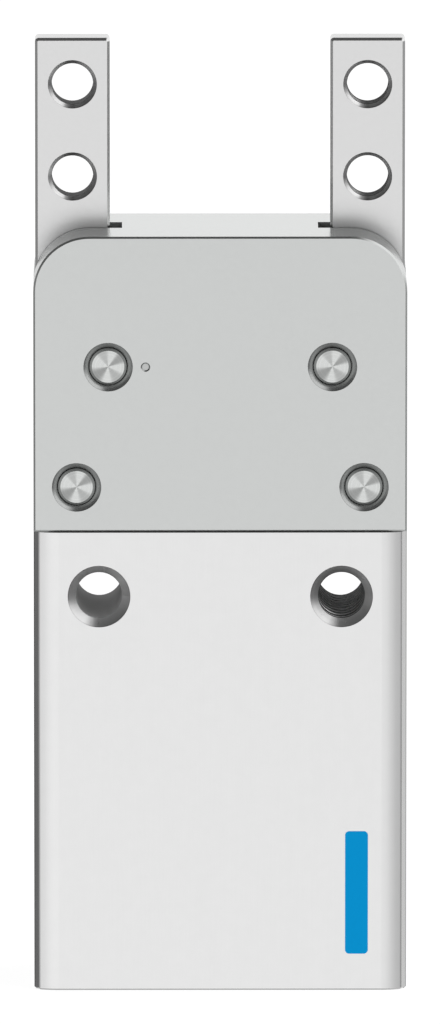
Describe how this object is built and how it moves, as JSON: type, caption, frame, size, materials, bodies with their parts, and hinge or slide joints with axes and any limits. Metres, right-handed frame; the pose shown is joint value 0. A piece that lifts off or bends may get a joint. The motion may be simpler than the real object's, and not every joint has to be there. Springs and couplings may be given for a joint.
{
  "type": "pneumatic gripper",
  "caption": "Slim pneumatic gripper with flat swinging jaws on pivot pins, turned together by a piston, and mounting holes in its body.",
  "frame": {"origin": "middle of the body's bottom face", "axes": "+Z from the foot towards the jaws, +X to the right seen from the front, front at -Y"},
  "size_m": [0.04, 0.015, 0.1028],
  "materials": {
    "head_aluminium": "fine matte, bead blasted and clear anodised",
    "body_aluminium": "satin, drawn vertically and clear anodised",
    "jaw_steel": "ground, satin",
    "pin_steel": "turned end faces",
    "bronze": "sintered",
    "gear_steel": "machined",
    "spring_steel": "phosphated",
    "piston_aluminium": "turned",
    "magnet": "sintered",
    "seal_rubber": "moulded",
    "guide_plastic": "cut from strip"
  },
  "bodies": {
    "housing": {"head": "head_aluminium", "body": "body_aluminium", "left_pivot_pin": "pin_steel", "right_pivot_pin": "pin_steel", "left_dowel_pin": "pin_steel", "right_dowel_pin": "pin_steel", "end_cap": "piston_aluminium", "end_cap_seal": "seal_rubber", "retaining_ring": "spring_steel", "lower_bumper": "seal_rubber", "upper_bumper": "seal_rubber", "rod_seal": "seal_rubber", "rod_bush": "bronze", "wiper_ring": "seal_rubber"},
    "left_jaw": {"left_jaw": "jaw_steel", "left_jaw_bush": "bronze"},
    "right_jaw": {"right_jaw": "jaw_steel", "right_jaw_bush": "bronze"},
    "piston": {"rack": "gear_steel", "rack_pin": "gear_steel", "piston_rod": "gear_steel", "piston": "piston_aluminium", "piston_magnet": "magnet", "piston_plate": "piston_aluminium", "piston_screw": "gear_steel", "piston_seal": "seal_rubber", "piston_guide_band": "guide_plastic"}
  },
  "joints": [
    {"name": "right_jaw_swing", "type": "hinge", "parent": "housing", "child": "right_jaw", "pos_m": [0.012, 0, 0.06817], "axis": [0, 1, 0], "range_deg": [-3, 90]},
    {"name": "left_jaw_swing", "type": "hinge", "parent": "housing", "child": "left_jaw", "pos_m": [-0.012, 0, 0.06817], "axis": [0, -1, 0], "range_deg": [-3, 90]},
    {"name": "piston_stroke", "type": "slide", "parent": "housing", "child": "piston", "axis": [0, 0, 1], "range_m": [-0.00032, 0.00943]}
  ],
  "couplings": [
    {"joint": "left_jaw_swing", "follows": "right_jaw_swing", "ratio": 1},
    {"joint": "piston_stroke", "follows": "right_jaw_swing", "m_per_rad": 0.006}
  ]
}
